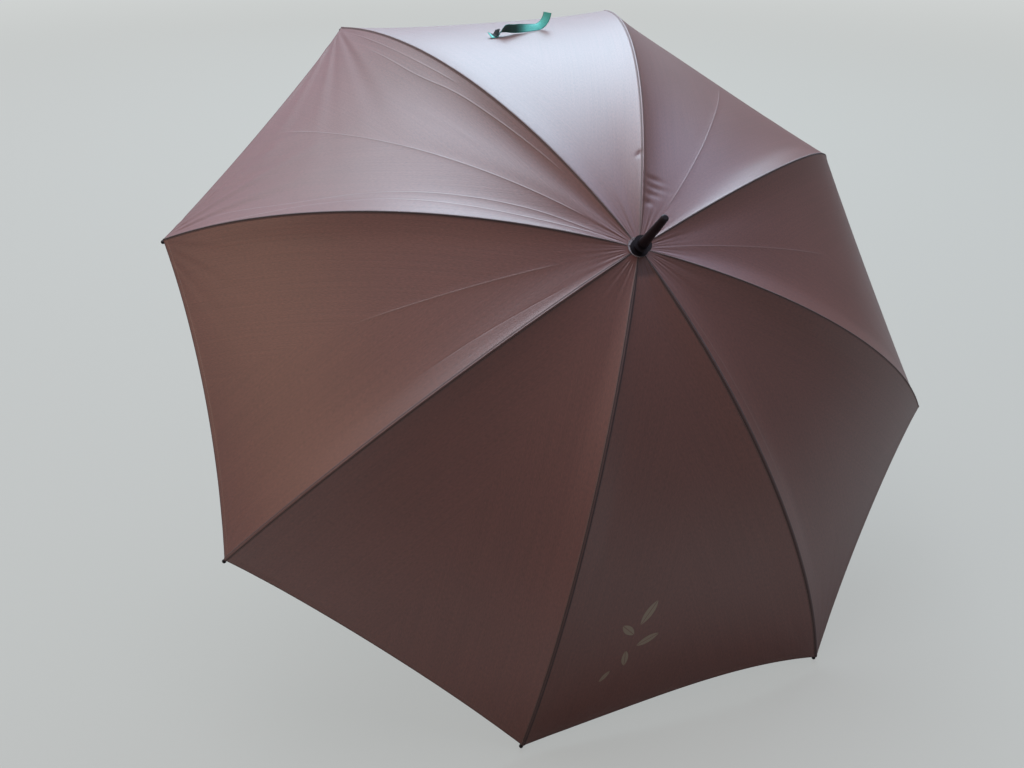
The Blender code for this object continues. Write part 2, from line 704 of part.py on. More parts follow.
def tip_mesh():
    """Cap with a bored sleeve, a sewing neck and a ball end, turned about its own axis."""
    neck_start = TIP_SLEEVE_LENGTH
    ball = TIP_LENGTH
    meet = asin(TIP_NECK_RADIUS / TIP_BALL_RADIUS)
    cap = []
    for step in range(BALL_STEPS + 1):
        turn = (pi - meet) * step / BALL_STEPS
        cap.append((TIP_BALL_RADIUS * sin(turn), ball + TIP_BALL_RADIUS * cos(turn)))
    bore_floor = TIP_SLEEVE_LENGTH - TIP_BORE_FLOOR
    profile = cap + [
        (TIP_NECK_RADIUS, neck_start + TIP_SLEEVE_WALL),
        (TIP_SLEEVE_RADIUS, neck_start),
        (TIP_SLEEVE_RADIUS, 0),
        (TIP_BORE_RADIUS, 0),
        (TIP_BORE_RADIUS, bore_floor),
        (0, bore_floor),
    ]
    return baked_mesh(turned("rib_tip", profile, BLACK_PLASTIC, None, steps=SMALL_ROUND_STEPS))


# Canopy: one cloth shell for each rib, from mid-panel to mid-panel, meeting its neighbours there
def cloth_point(along_share, across):
    """Outer face of the cloth in a rib's hinge frame. Across runs from -1 to 1, 0 on the rib."""
    pull = abs(across) * (2 - abs(across))
    end = CLOTH_END - HEM_RISE * pull
    along = CLOTH_START + (end - CLOTH_START) * along_share
    ridge = rib_point(along, CLOTH_LIFT)
    radius = ridge.x + HINGE_RADIUS
    half_chord = radius * sin(HALF_PITCH)
    across *= 1 - PANEL_GAP / 2 / half_chord
    x = ridge.x - half_chord * abs(across) * sin(HALF_PITCH)
    y = half_chord * across * cos(HALF_PITCH)
    slack = CLOTH_SAG * sin(pi * along_share) + HEM_DIP * along_share**3
    sag = slack * across * across * (3 - 2 * abs(across))
    outward = Matrix.Rotation(HALF_PITCH * across, 3, "Z") @ rib_normal(along)
    return Vector((x, y, ridge.z)) - outward * sag


def cloth_mesh():
    bm = bmesh.new()
    bmesh.ops.create_grid(
        bm, x_segments=CLOTH_STATIONS_ALONG, y_segments=CLOTH_STATIONS_ACROSS, size=1
    )
    for vert in bm.verts:
        vert.co = cloth_point((vert.co.x + 1) / 2, vert.co.y)
    mesh = mesh_from(bm, "canopy_panel")
    if mesh.polygons[0].normal.z < 0:
        mesh.flip_normals()
    smooth(mesh)
    return mesh


def build_cloth(name, mesh, hinge):
    panel = add_object(name, mesh, CLOTH, hinge)
    shell = panel.modifiers.new("Cloth thickness", "SOLIDIFY")
    shell.thickness = CLOTH_THICKNESS
    shell.offset = -1


def build_ribs(root):
    rib, stretcher, rivet = rib_mesh(), stretcher_mesh(), rivet_mesh()
    tip, cloth = tip_mesh(), cloth_mesh()
    joint = rib_point(RIB_BEND_RADIUS * JOINT_ARC)
    tip_slope = RIB_START_SLOPE + (TIP_START + TIP_LENGTH / 2) / RIB_BEND_RADIUS
    hinges = []
    for index in range(RIB_COUNT):
        label = str(index + 1)
        azimuth = rib_azimuth(index)
        place = (HINGE_RADIUS * cos(azimuth), HINGE_RADIUS * sin(azimuth), 0)
        hinge = add_empty("rib_hinge_" + label, root, place, (0, 0, azimuth))
        add_object("rib_" + label, rib, DARK_STEEL, hinge)
        add_object("rib_rivet_" + label, rivet, WIRE_STEEL, hinge, joint, (pi / 2, 0, 0))
        tip_turn = (0, pi / 2 + tip_slope, 0)
        add_object("rib_tip_" + label, tip, BLACK_PLASTIC, hinge, rib_point(TIP_START), tip_turn)
        build_cloth("canopy_panel_" + label, cloth, hinge)
        turn = (0, pi - JOINT_SLOPE, 0)
        pivot = add_empty("stretcher_pivot_" + label, hinge, joint, turn)
        add_object("stretcher_" + label, stretcher, DARK_STEEL, pivot)
        hinges.append(hinge)
    return hinges


# Closing strap: a ribbon that lies across its panel, turns over once and curls up at its end
def panel_point(along_share, across):
    """Outer face of the cloth, also past mid-panel, where the rib before carries it."""
    if across <= 1:
        return cloth_point(along_share, across)
    axis = Vector((-HINGE_RADIUS, 0, 0))
    turn = Matrix.Rotation(2 * HALF_PITCH, 3, "Z")
    return axis + turn @ (cloth_point(along_share, across - 2) - axis)


def panel_normal(along_share, across):
    step = 1 / CLOTH_STATIONS_ALONG
    along = panel_point(along_share + step, across) - panel_point(along_share - step, across)
    side = panel_point(along_share, across + step) - panel_point(along_share, across - step)
    return along.cross(side).normalized()


def between(pair, share):
    return pair[0] + (pair[1] - pair[0]) * share


def strap_turn(share):
    """Turn of the ribbon about its own length: half a turn between two shares."""
    start, end = STRAP_TWIST_SHARES
    way = min(max((share - start) / (end - start), 0), 1)
    return pi * way * way * (3 - 2 * way)


def strap_lift(share):
    turned_edge = STRAP_WIDTH / 2 * abs(sin(strap_turn(share)))
    arch = STRAP_ARCH * sin(strap_turn(share)) ** 2
    return STRAP_REST + turned_edge + arch


def strap_rest_place(share):
    """Cloth place and normal under the flat stretch of the strap, at a share of that stretch."""
    across = between(STRAP_ACROSS_SHARES, share)
    along_share = 1 - between(STRAP_INSETS, share) / (CLOTH_END - CLOTH_START)
    return panel_point(along_share, across), panel_normal(along_share, across)


def strap_frame(share):
    """Centre, direction and face normal of the untwisted strap at a share of its length."""
    flat = min(share / STRAP_FLAT_SHARE, 1)
    step = 1 / STRAP_STATIONS
    place, normal = strap_rest_place(flat)
    way = (strap_rest_place(flat + step)[0] - strap_rest_place(flat - step)[0]).normalized()
    curl = STRAP_CURL_ANGLE * max(share - STRAP_FLAT_SHARE, 0) / (1 - STRAP_FLAT_SHARE)
    centre = place + normal * strap_lift(share)
    centre += (way * sin(curl) + normal * (1 - cos(curl))) * STRAP_CURL_RADIUS
    return centre, way * cos(curl) + normal * sin(curl), normal * cos(curl) - way * sin(curl)


def build_strap(hinge):
    half_width, half_thick = STRAP_WIDTH / 2, STRAP_THICKNESS / 2
    corners = [(-1, -1), (1, -1), (1, 1), (-1, 1)]
    rings = []
    for step in range(STRAP_STATIONS + 1):
        share = step / STRAP_STATIONS
        centre, way, normal = strap_frame(share)
        side = way.cross(normal).normalized()
        normal = side.cross(way)
        turn = strap_turn(share)
        wide = side * cos(turn) + normal * sin(turn)
        thick = normal * cos(turn) - side * sin(turn)
        rings.append([centre + wide * half_width * u + thick * half_thick * v for u, v in corners])
    strap = add_object("strap", loft("strap", rings), STRAP_CLOTH, hinge)
    strap.data.shade_smooth()
    centre, way, normal = strap_frame(PATCH_SHARE)
    lift = half_thick + FIT_CLEARANCE + PATCH_THICKNESS / 2
    side = way.cross(normal).normalized()
    axes = Matrix((way, side, way.cross(side))).transposed().to_4x4()
    bm = bmesh.new()
    size = Matrix.Diagonal((PATCH_LENGTH, PATCH_WIDTH, PATCH_THICKNESS, 1))
    place = Matrix.Translation(centre + side.cross(way) * lift)
    bmesh.ops.create_cube(bm, size=1, matrix=place @ axes @ size)
    add_object("strap_patch", mesh_from(bm, "strap_patch"), PATCH_CLOTH, hinge)


def settle(root):
    """Moves the umbrella so that it stands on Z = 0, with its box centred on X = Y = 0."""
    bpy.context.view_layer.update()
    graph = bpy.context.evaluated_depsgraph_get()
    points = []
    for made in PARTS.objects:
        if made.type == "EMPTY":
            continue
        evaluated = made.evaluated_get(graph)
        mesh = evaluated.to_mesh()
        points += [made.matrix_world @ vert.co for vert in mesh.vertices]
        evaluated.to_mesh_clear()
    low = [min(point[axis] for point in points) for axis in range(3)]
    high = [max(point[axis] for point in points) for axis in range(3)]
    root.location = (-(low[0] + high[0]) / 2, -(low[1] + high[1]) / 2, -low[2])
    bpy.context.view_layer.update()


ROOT = add_empty("umbrella_axis", rotation=(rest_lean(), 0, 0))
build_shaft(ROOT)
build_stop_pin(ROOT)
build_crown(ROOT)
build_crown_wire(ROOT)
build_cap(ROOT)
build_ferrule(ROOT)
build_runner(ROOT)
build_catch("upper_catch", ROOT, UPPER_CATCH_FOOT, 1)
build_catch("lower_catch", ROOT, LOWER_CATCH_FOOT, -1)
build_collar(ROOT)
build_handle(ROOT)
HINGES = build_ribs(ROOT)
build_strap(HINGES[STRAP_RIB - 1])
settle(ROOT)
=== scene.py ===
"""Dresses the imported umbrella: stretched satin canopy, strap and cap ring over the frame."""

import json
from math import cos, pi, radians, sin

import bmesh
import bpy
import numpy as np
from mathutils import Matrix, Vector


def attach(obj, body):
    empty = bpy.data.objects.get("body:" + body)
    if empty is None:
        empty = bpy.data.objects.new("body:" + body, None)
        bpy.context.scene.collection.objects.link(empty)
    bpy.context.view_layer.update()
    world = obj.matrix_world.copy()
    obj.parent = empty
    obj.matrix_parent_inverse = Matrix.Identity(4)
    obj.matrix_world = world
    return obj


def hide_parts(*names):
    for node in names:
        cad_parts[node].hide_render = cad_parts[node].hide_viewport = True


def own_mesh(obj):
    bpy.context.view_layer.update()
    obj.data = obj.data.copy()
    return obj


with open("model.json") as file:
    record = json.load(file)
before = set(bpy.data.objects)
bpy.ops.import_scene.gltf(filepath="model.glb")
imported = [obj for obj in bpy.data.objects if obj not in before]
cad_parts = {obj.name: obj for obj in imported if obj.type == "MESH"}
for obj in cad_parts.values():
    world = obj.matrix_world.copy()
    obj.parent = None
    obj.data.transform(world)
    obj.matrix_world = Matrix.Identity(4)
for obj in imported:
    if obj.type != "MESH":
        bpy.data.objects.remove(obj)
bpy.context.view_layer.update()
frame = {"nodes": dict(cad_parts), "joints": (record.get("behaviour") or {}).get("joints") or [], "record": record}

# Frame of the umbrella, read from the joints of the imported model
JOINTS = {joint["name"]: joint for joint in frame["joints"]}
RIBS = range(8)
HALF_PITCH = pi / 8
HINGES = [Vector(JOINTS[f"rib_{rib + 1}_hinge"]["pos_m"]) for rib in RIBS]
SHAFT_UP = -Vector(JOINTS["runner_slide"]["axis"])
ACROSS_FLOOR = Vector((1, 0, 0))
SHAFT_BACK = SHAFT_UP.cross(ACROSS_FLOOR).normalized()
CROWN = sum(HINGES, Vector()) / len(HINGES)
HINGE_RADIUS = 0.012

# Cloth, in metres
RIB_BEND = 0.704
RIB_SLOPE = radians(1.3)
CLOTH_LIFT = 0.0042
CLOTH_START = -0.003
CLOTH_END = 0.611
SAG = 0.0095
CLOTH_THICK = 0.0003
WELT_HEIGHT = 0.0006
WELT_EDGE = 0.0009
SEAM_SHADOW = 0.0008
HEM_FOLD = (0.0055, 0.0068)
HEM_HEIGHT = 0.0003

# Rise of the hem and its dip at the middle of each panel, from the second rib on, in mm
HEM_RISES = (7, 10, 6, 4, 18, 15, 8, 17)
HEM_DIPS = (4, 7, 0.5, 2.6, 4, 4, 4, 4)
HEM_SKEWS = (0, 0, 0, 0, 0, 0.75, 0, 0)
# Half the width of each seam's welt in mm, and how dark the welt and its edges are
SEAM_HALVES = (1.1, 1.4, 1.9, 0.9, 0.8, 2.5, 2.2, 2.2)
SEAM_FILLS = (0.7, 0.15, 0.05, 0.6, 0.6, 0.7, 0.7, 0.15)
SEAM_EDGES = (0.7, 0.9, 0.75, 0.55, 0.6, 0.5, 0.5, 1.0)
SEAM_FAR_EDGES = (0.7, 0.9, 0.2, 0.55, 0.6, 0.5, 0.5, 1.0)
# How far each seam lies beside its rib at half length, clockwise, in mm
SEAM_DRIFTS = (3.7, 0, -0.7, 2.3, 4, 4, 4, -1)

# Ribs beside the panel on which the cap's shadow is painted, and the side it is on
CAP_SHADOW_HALVES = {5: -1, 6: 1}

# Camera of the photograph
CAMERA_PLACE = Vector((-0.5420846, -1.2083315, 0.9854619))
CAMERA_TURN = radians(21.1315)
CAMERA_DOWN = radians(28.5583)
CAMERA_ROLL = radians(0.042)
CAMERA_LENS = 36.62

PALE_FIELD = "#d0d3d2"
GLOSSY_SHARE = 0.17


def rib_axes(rib):
    """Origin and axes of a rib's hinge: outwards, anticlockwise and up the shaft."""
    turn = pi - (2 * rib + 1) * HALF_PITCH
    out = ACROSS_FLOOR * cos(turn) + SHAFT_BACK * sin(turn)
    return HINGES[rib], out, SHAFT_UP.cross(out)


# ---------------------------------------------------------------- canopy

# Columns at set distances beside the seam, and the number from there to mid-panel
FIXED_COLUMNS = np.array([0, 0.7, 1.4, 2.1, 2.9, 3.8, 5.2, 7.2, 10]) / 1000
FREE_COLUMNS = 46
# Rows from the crown to the hem's fold, and within it
EVEN_ROWS = 190
HEM_ROWS = 14
HEM_SHARE = 0.978


def smooth(value, low, high):
    """Soft step from 0 at low to 1 at high."""
    way = np.clip((value - low) / (high - low), 0, 1)
    return way * way * (3 - 2 * way)


def bump_of(distance, width):
    """Soft bump, 1 at no distance."""
    return np.exp(-((distance / width) ** 2))


def column_shares(half_chord):
    """Shares of the half panel, close together at the seam and at mid-panel."""
    step = np.arange(len(FIXED_COLUMNS)) / (len(FIXED_COLUMNS) + FREE_COLUMNS)
    near = np.minimum(FIXED_COLUMNS[None, :] / half_chord[:, None], step[None, :])
    way = np.arange(1, FREE_COLUMNS + 1) / FREE_COLUMNS
    way = 0.5 * way + 0.25 * (1 - np.cos(pi * way))
    far = near[:, -1:] + (1 - near[:, -1:]) * way[None, :]
    half = np.concatenate([near, far], axis=1)
    return np.concatenate([-half[:, :0:-1], half], axis=1)


def row_shares():
    """Shares of the length from crown to hem, close together in the hem's fold."""
    even = np.linspace(0, HEM_SHARE, EVEN_ROWS)
    return np.concatenate([even, np.linspace(HEM_SHARE, 1, HEM_ROWS)[1:]])


def ridge_radius(along):
    """Radius of the cloth's ridge over a rib about the shaft."""
    outer = (RIB_BEND + CLOTH_LIFT) * np.sin(RIB_SLOPE + along / RIB_BEND)
    return outer - RIB_BEND * sin(RIB_SLOPE) + HINGE_RADIUS


# Sharp folds pressed in by storage: panel, its first rib -1 or second rib 1, places in mm
# (along, from the seam) from the hem inwards, and strength
SEAM_FOLDS = (
    (0, -1, ((560, 23), (419, 23), (329, 38), (252, 41), (166, 35), (92, 23), (39, 9)), 0.55),
    (0, -1, ((546, 3), (462, 5), (363, 21), (280, 27), (196, 22), (111, 13), (25, 5)), 0.5),
    (0, 1, ((573, 10), (480, 15), (400, 16), (319, 12)), 0.5),
    (0, 1, ((513, 27), (377, 33), (314, 22), (259, 19), (120, 9)), 0.6),
    (0, 1, ((383, 77), (308, 67), (256, 59), (228, 57)), 0.35),
    (7, -1, ((300, 30), (200, 24), (90, 11)), -0.35),
    (4, 1, ((330, 18), (200, 16), (70, 8)), 0.3),
)
# Sharp folds along the middle of a panel: panel, places (along in mm, share from -1 to 1), strength
MID_FOLDS = (
    (0, ((556, -0.05), (300, 0.0), (66, 0.03)), 0.65),
    (2, ((496, 0), (300, 0.06), (66, 0.17)), 0.5),
    (7, ((354, 0), (91, 0)), 0.5),
    (3, ((357, 0.05), (17, 0.15)), 0.35),
)
FOLD_HEIGHT = 0.00035
FOLD_WIDTH = 0.004
# The course of a fold is averaged over these steps along it, so that it bends softly
FOLD_STEPS = (-0.03, -0.015, 0, 0.015, 0.03)
# Soft puckers across the cloth: panel, place along in mm, share, reach across in mm
PUCKERS = (
    (2, 98, -0.60, 12),
    (2, 86, -0.53, 13),
    (2, 73, -0.57, 10),
    (2, 57, -0.68, 6),
    (1, 126, 0.92, 5),
)
PUCKER_DEPTH = 0.0015
PUCKER_WIDTH = 0.0038
PUCKER_SLANT = 0.4
# Height and reach of the pull lines at the tips: on the most strained panel, and on the rest
STRAINED_PANEL = 0
STRAINED_PULL = (0.0006, 0.19)
USUAL_PULL = (0.00014, 0.13)


def fold_lines(panel):
    """Courses of a panel's folds: alongs in metres, rising, shares there, and strength."""
    lines = []
    for place, side, points, strength in SEAM_FOLDS:
        if place == panel:
            alongs = np.array([along for along, _ in points[::-1]]) / 1000
            beside = np.array([edge for _, edge in points[::-1]]) / 1000
            shares = side * (1 - beside / (ridge_radius(alongs) * sin(HALF_PITCH)))
            lines.append((alongs, shares, strength))
    for place, points, strength in MID_FOLDS:
        if place == panel:
            alongs = np.array([along for along, _ in points[::-1]]) / 1000
            lines.append((alongs, np.array([share for _, share in points[::-1]]), strength))
    return lines


def fold_course(line, along, share, half_chord):
    """Signed distance from a fold, and how strong the fold is there."""
    alongs, shares, strength = line
    course = sum(np.interp(along + step, alongs, shares) for step in FOLD_STEPS) / len(FOLD_STEPS)
    distance = (share - course) * half_chord
    ends = smooth(along, alongs[0] - 0.01, alongs[0] + 0.03)
    ends = ends * (1 - smooth(along, alongs[-1] - 0.05, alongs[-1] + 0.01))
    return distance, strength * ends


def panel_shape(panel, along, share, half_chord):
    """Height of the cloth over its smooth course, in metres. Share runs -1..1 from rib to rib."""
    reach = along / CLOTH_END
    from_seam = (1 - np.abs(share)) * half_chord
    free = smooth(from_seam, 0.004, 0.03)
    height = np.zeros(along.shape)
    # slow unevenness of cloth under pull
    wave = np.sin(9.3 * along / 0.6 + 2.1 * panel + 2.3 * share)
    wave += 0.7 * np.sin(5.2 * share + 1.7 * panel) * np.sin(6.1 * reach + panel)
    height += 0.0004 * wave * free
    # gathers that run out from the crown
    hub = np.exp(-((along / 0.055) ** 2)) * smooth(along, 0.004, 0.016)
    pleat = 0.5 * np.sin(share * 13 + 1.3 * panel) + 0.4 * np.sin(share * 23 + 2.9 * panel)
    pleat += 0.6 * bump_of(share - 0.1, 0.09)
    height += 0.00024 * pleat * hub
    # pull lines that fan out from each tip
    pull, pull_reach = STRAINED_PULL if panel == STRAINED_PANEL else USUAL_PULL
    for side in (-1, 1):
        beside = half_chord * (1 - side * share)
        before = CLOTH_END + 0.001 - along
        angle = np.arctan2(beside, before + 0.012)
        radius = np.hypot(beside, before)
        fan = np.sin(angle * 21 + panel * 2.2 + side) + 0.5 * np.sin(angle * 37 + panel)
        near = bump_of(radius, pull_reach) * smooth(radius, 0.006, 0.035)
        height += pull * fan * near * smooth(angle, 0.05, 0.3)
    # a broad hollow beside the second seam of the strained panel
    if panel == STRAINED_PANEL:
        height -= 0.0024 * np.sin(pi * np.clip(reach, 0, 1)) * bump_of(share - 0.58, 0.3)
    for line in fold_lines(panel):
        distance, strength = fold_course(line, along, share, half_chord)
        height += FOLD_HEIGHT * strength * bump_of(distance, FOLD_WIDTH)
    for place, spot, across, wide in PUCKERS:
        if place == panel:
            beside = (share - across) * half_chord
            off = along - spot / 1000 - PUCKER_SLANT * beside
            height -= PUCKER_DEPTH * bump_of(np.hypot(off / PUCKER_WIDTH, beside * 1000 / wide), 1)
    return height


def seam_profile(rib, across, beside, reach):
    """Height of the seam's welt, its shade, and the distance from the welt's edge."""
    half = SEAM_HALVES[rib] / 1000 * smooth(reach, -0.05, 0.12)
    welt = 1 - smooth(beside, half, half + WELT_EDGE)
    edge = np.where(across > 0, SEAM_EDGES[rib], SEAM_FAR_EDGES[rib])
    shade = edge * bump_of(beside - half, SEAM_SHADOW) + SEAM_FILLS[rib] * welt
    return WELT_HEIGHT * welt, np.clip(shade, 0, 1), beside - half


def cloth_surface(rib, rows, across):
    """The cloth over one rib in its hinge frame: places, and what the surface is at each."""
    out = np.abs(across)
    pull = out * (2 - out)
    # across > 0 is the panel before this rib, across < 0 the one after it
    before = (rib - 1) % 8
    rise = np.where(across > 0, HEM_RISES[before], HEM_RISES[rib]) / 1000
    dip = np.where(across > 0, HEM_DIPS[before], HEM_DIPS[rib]) / 1000
    skew = np.where(across > 0, HEM_SKEWS[before], HEM_SKEWS[rib])
    share = np.where(across > 0, 1 - across, -1 - across)
    end = CLOTH_END - rise * pull * (1 - skew * share)
    along = CLOTH_START + (end - CLOTH_START) * rows
    slope = RIB_SLOPE + along / RIB_BEND
    radius = ridge_radius(along)
    ridge_z = (RIB_BEND + CLOTH_LIFT) * np.cos(slope) - RIB_BEND * cos(RIB_SLOPE)
    half_chord = radius * sin(HALF_PITCH)
    beside = out * half_chord
    hollow = 0.45 * pull + 0.55 * (1 - (1 - out) ** 5)
    lift = -(SAG * np.sin(pi * rows) + dip * rows**3) * hollow
    height = np.where(
        across > 0,
        panel_shape(before, along, share, half_chord),
        panel_shape(rib, along, share, half_chord),
    )
    lift += height * (smooth(end - along, -0.001, 0.012) * 0.6 + 0.4)
    welt, shade, from_welt = seam_profile(rib, across, beside, rows)
    # painted shadow of the cap: one panel is darkened and dulled under the cap, on the half that each of its ribs
    # carries
    if rib in CAP_SHADOW_HALVES:
        cap_shadow = 0.55 * (1 - smooth(along, 0.021, 0.028)) * (across * CAP_SHADOW_HALVES[rib] > 0)
        shade = np.maximum(shade, cap_shadow)
    lift += welt * smooth(along, 0.008, 0.02)
    lift += HEM_HEIGHT * (1 - smooth(end - along, *HEM_FOLD))
    turn = HALF_PITCH * across
    drift = SEAM_DRIFTS[rib] / 1000 * np.sin(pi * rows) * (1 - smooth(out, 0, 1))
    # the rib lies a little aside of a drifted seam, and holds the cloth up there
    lift += 0.36 * np.abs(drift) * (1 - smooth(beside, 0.005, 0.034))
    x = radius - HINGE_RADIUS - beside * sin(HALF_PITCH) + lift * np.sin(slope) * np.cos(turn)
    y = across * half_chord * cos(HALF_PITCH) - drift + lift * np.sin(slope) * np.sin(turn)
    layers = {"seam_shade": shade, "from_hem": end - along, "from_welt": from_welt}
    places = np.stack([x, y, ridge_z + lift * np.cos(slope)], -1)
    return places, across * half_chord, along, share, layers


def canopy_grid(rib):
    """Rows and columns of the cloth over one rib, as shares."""
    rows = row_shares()[:, None]
    half_rows = ridge_radius(CLOTH_START + (CLOTH_END - CLOTH_START) * rows[:, 0])
    across = column_shares(half_rows * sin(HALF_PITCH))
    return np.repeat(rows, across.shape[1], axis=1), across


def in_world(rib, places):
    """Places in a rib's hinge frame as world places."""
    origin, out, side = rib_axes(rib)
    return places @ np.array([out, side, SHAFT_UP]) + np.array(origin)


def panel_place(panel, along_share, share):
    """World place on the outer face of a panel. Share runs -1..1 from rib to rib."""
    rib = panel if share <= 0 else (panel + 1) % 8
    across = -1 - share if share <= 0 else 1 - share
    places = cloth_surface(rib, np.array([[along_share]]), np.array([[across]]))[0]
    return Vector(in_world(rib, places)[0, 0])


def fold_layers(rib, across, along, share, half_chord):
    """The three sharpest folds on either side of the rib: distance from each, and its strength."""
    layers = {}
    for number, panel, side in ((1, (rib - 1) % 8, 1), (2, rib, -1)):
        here = (across * side > 0)[..., None]
        lines = [line for line in fold_lines(panel) if line[1].mean() * side > -0.3]
        lines = sorted(lines, key=lambda line: -abs(line[2]))[:3]
        courses = [fold_course(line, along, share, half_chord) for line in lines]
        courses += [(np.ones(along.shape), np.zeros(along.shape))] * (3 - len(courses))
        distances, strengths = (np.stack(values, -1) for values in zip(*courses))
        layers[f"fold_{number}"] = np.where(here, distances, 1.0)
        layers[f"fold_{number}_strength"] = np.where(here, strengths, 0.0)
    return layers


def add_layer(mesh, name, values):
    """One number or three for each point of the mesh."""
    three = values.ndim == 3
    layer = mesh.attributes.new(name, "FLOAT_VECTOR" if three else "FLOAT", "POINT")
    layer.data.foreach_set("vector" if three else "value", values.astype(np.float32).ravel())


def grid_faces(rows, columns):
    """Corner numbers of each square of a grid of points."""
    corner = np.arange((rows - 1) * columns).reshape(rows - 1, columns)[:, :-1]
    quads = np.stack([corner, corner + columns, corner + columns + 1, corner + 1], -1)
    return quads.reshape(-1, 4)


def add_sheet_mesh(name, places, material):
    """Grid of world places as a one-sided mesh object."""
    rows, columns = places.shape[:2]
    mesh = bpy.data.meshes.new(name)
    mesh.from_pydata(places.reshape(-1, 3).tolist(), [], grid_faces(rows, columns).tolist())
    obj = bpy.data.objects.new(name, mesh)
    bpy.context.scene.collection.objects.link(obj)
    obj.data.materials.append(material)
    return obj


def uv_layer(mesh, across, along):
    """Gives a sheet its place in the flat cut, in metres."""
    layer = mesh.uv_layers.new(name="cut")
    loops = np.empty(len(mesh.loops), np.int32)
    mesh.loops.foreach_get("vertex_index", loops)
    flat = np.stack([across.ravel()[loops], along.ravel()[loops]], -1).astype(np.float32)
    layer.data.foreach_set("uv", flat.ravel())


def select_only(obj):
    bpy.ops.object.select_all(action="DESELECT")
    obj.select_set(True)
    bpy.context.view_layer.objects.active = obj


def thicken(obj, thickness, inside=None):
    """Gives a sheet its thickness downwards, the inner face in its own finish."""
    select_only(obj)
    wall = obj.modifiers.new("cloth", "SOLIDIFY")
    wall.thickness = thickness
    wall.offset = -1
    if inside:
        obj.data.materials.append(inside)
        wall.material_offset = 1
    bpy.ops.object.modifier_apply(modifier=wall.name)
    bpy.ops.object.shade_smooth_by_angle(angle=radians(50))


def build_canopy(rib, material, inside):
    """The cloth from mid-panel to mid-panel over one rib."""
    origin, out, side = rib_axes(rib)
    local, across, along, share, layers = cloth_surface(rib, *canopy_grid(rib))
    sheet = add_sheet_mesh(f"canopy_cloth_{rib + 1}", in_world(rib, local), material)
    half_chord = ridge_radius(along) * sin(HALF_PITCH)
    layers.update(fold_layers(rib, across, along, share, half_chord))
    for layer, values in layers.items():
        add_layer(sheet.data, layer, values)
    uv_layer(sheet.data, across, along)
    thicken(sheet, CLOTH_THICK, inside)
    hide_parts(f"canopy_panel_{rib + 1}")
    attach(sheet, f"rib_{rib + 1}")
    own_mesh(sheet)


# ---------------------------------------------------------------- strap, tape and ring

# The strap lies on one panel: shares across it, and distances from the hem, at its two ends
STRAP_PANEL = 1
STRAP_SHARES = (-0.20, 0.265)
STRAP_INSETS = (0.137, 0.108)
STRAP_WIDTH = 0.012
STRAP_THICK = 0.0005
STRAP_CUP = 0.0006
# Turn of the ribbon about its own length, in degrees, at shares of its length
STRAP_TURNS = ((0, -36), (0.08, -8), (0.22, 66), (0.42, 92), (0.58, 130), (0.78, 146), (1, 154))
TURN_STEPS = (-0.05, 0, 0.05)
# The strap follows the cloth over this share of its length, and then curls up
STRAP_FLAT = 0.74
STRAP_CURL_RADIUS = 0.022
STRAP_CURL = radians(80)
STRAP_STATIONS = 110
STRAP_COLUMNS = 7
# Hook tape: shares of the strap's length that it covers, and its own sizes
TAPE_SHARES = (0.05, 0.135)
TAPE_WIDTH = 0.010
TAPE_LENGTH = 0.012
TAPE_THICK = 0.0008
TAPE_RISE = 0.005
TAPE_ROWS = 12
TAPE_COLUMNS = 9
# Ring under the cap: courses from within the cap to the free edge, and its pinked teeth
RING_WAYS = (-3.3, -1.5, -0.2, 0.1, 0.4, 0.7, 1)
RING_TEETH = 27
RING_POINTS = 216
RING_RADIUS = 0.0114
RING_LEVEL = 0.00414
RING_THICK = 0.00014
# pushed a little to the back and left, so it peeps out there from under the cup
RING_SHIFT = (-0.0009, 0.0013)


def strap_rest(way):
    """Cloth place and normal under the strap, at a share of its flat stretch."""
    share = STRAP_SHARES[0] + (STRAP_SHARES[1] - STRAP_SHARES[0]) * way
    inset = STRAP_INSETS[0] + (STRAP_INSETS[1] - STRAP_INSETS[0]) * way
    along = 1 - inset / (CLOTH_END - CLOTH_START)
    low, high = (panel_place(STRAP_PANEL, along + step, share) for step in (0.01, -0.01))
    right, left = (panel_place(STRAP_PANEL, along, share + step) for step in (0.03, -0.03))
    return panel_place(STRAP_PANEL, along, share), (right - left).cross(low - high).normalized()


def strap_frame(share):
    """Centre, direction, width and thickness directions of the ribbon at a share of its length."""
    flat = min(share / STRAP_FLAT, 1)
    place, normal = strap_rest(flat)
    way = (strap_rest(flat + 0.03)[0] - strap_rest(flat - 0.03)[0]).normalized()
    shares, turns = zip(*STRAP_TURNS)
    turn = radians(sum(np.interp(share + step, shares, turns) for step in TURN_STEPS) / len(TURN_STEPS))
    lift = 0.0007 + STRAP_WIDTH / 2 * abs(sin(turn)) + 0.0032 * bump_of(share - 0.24, 0.12)
    curl = STRAP_CURL * max(share - STRAP_FLAT, 0) / (1 - STRAP_FLAT)
    centre = place + normal * lift
    centre += (way * sin(curl) + normal * (1 - cos(curl))) * STRAP_CURL_RADIUS
    way, normal = way * cos(curl) + normal * sin(curl), normal * cos(curl) - way * sin(curl)
    side = way.cross(normal).normalized()
    normal = side.cross(way)
    return centre, way, side * cos(turn) + normal * sin(turn), normal * cos(turn) - side * sin(turn)


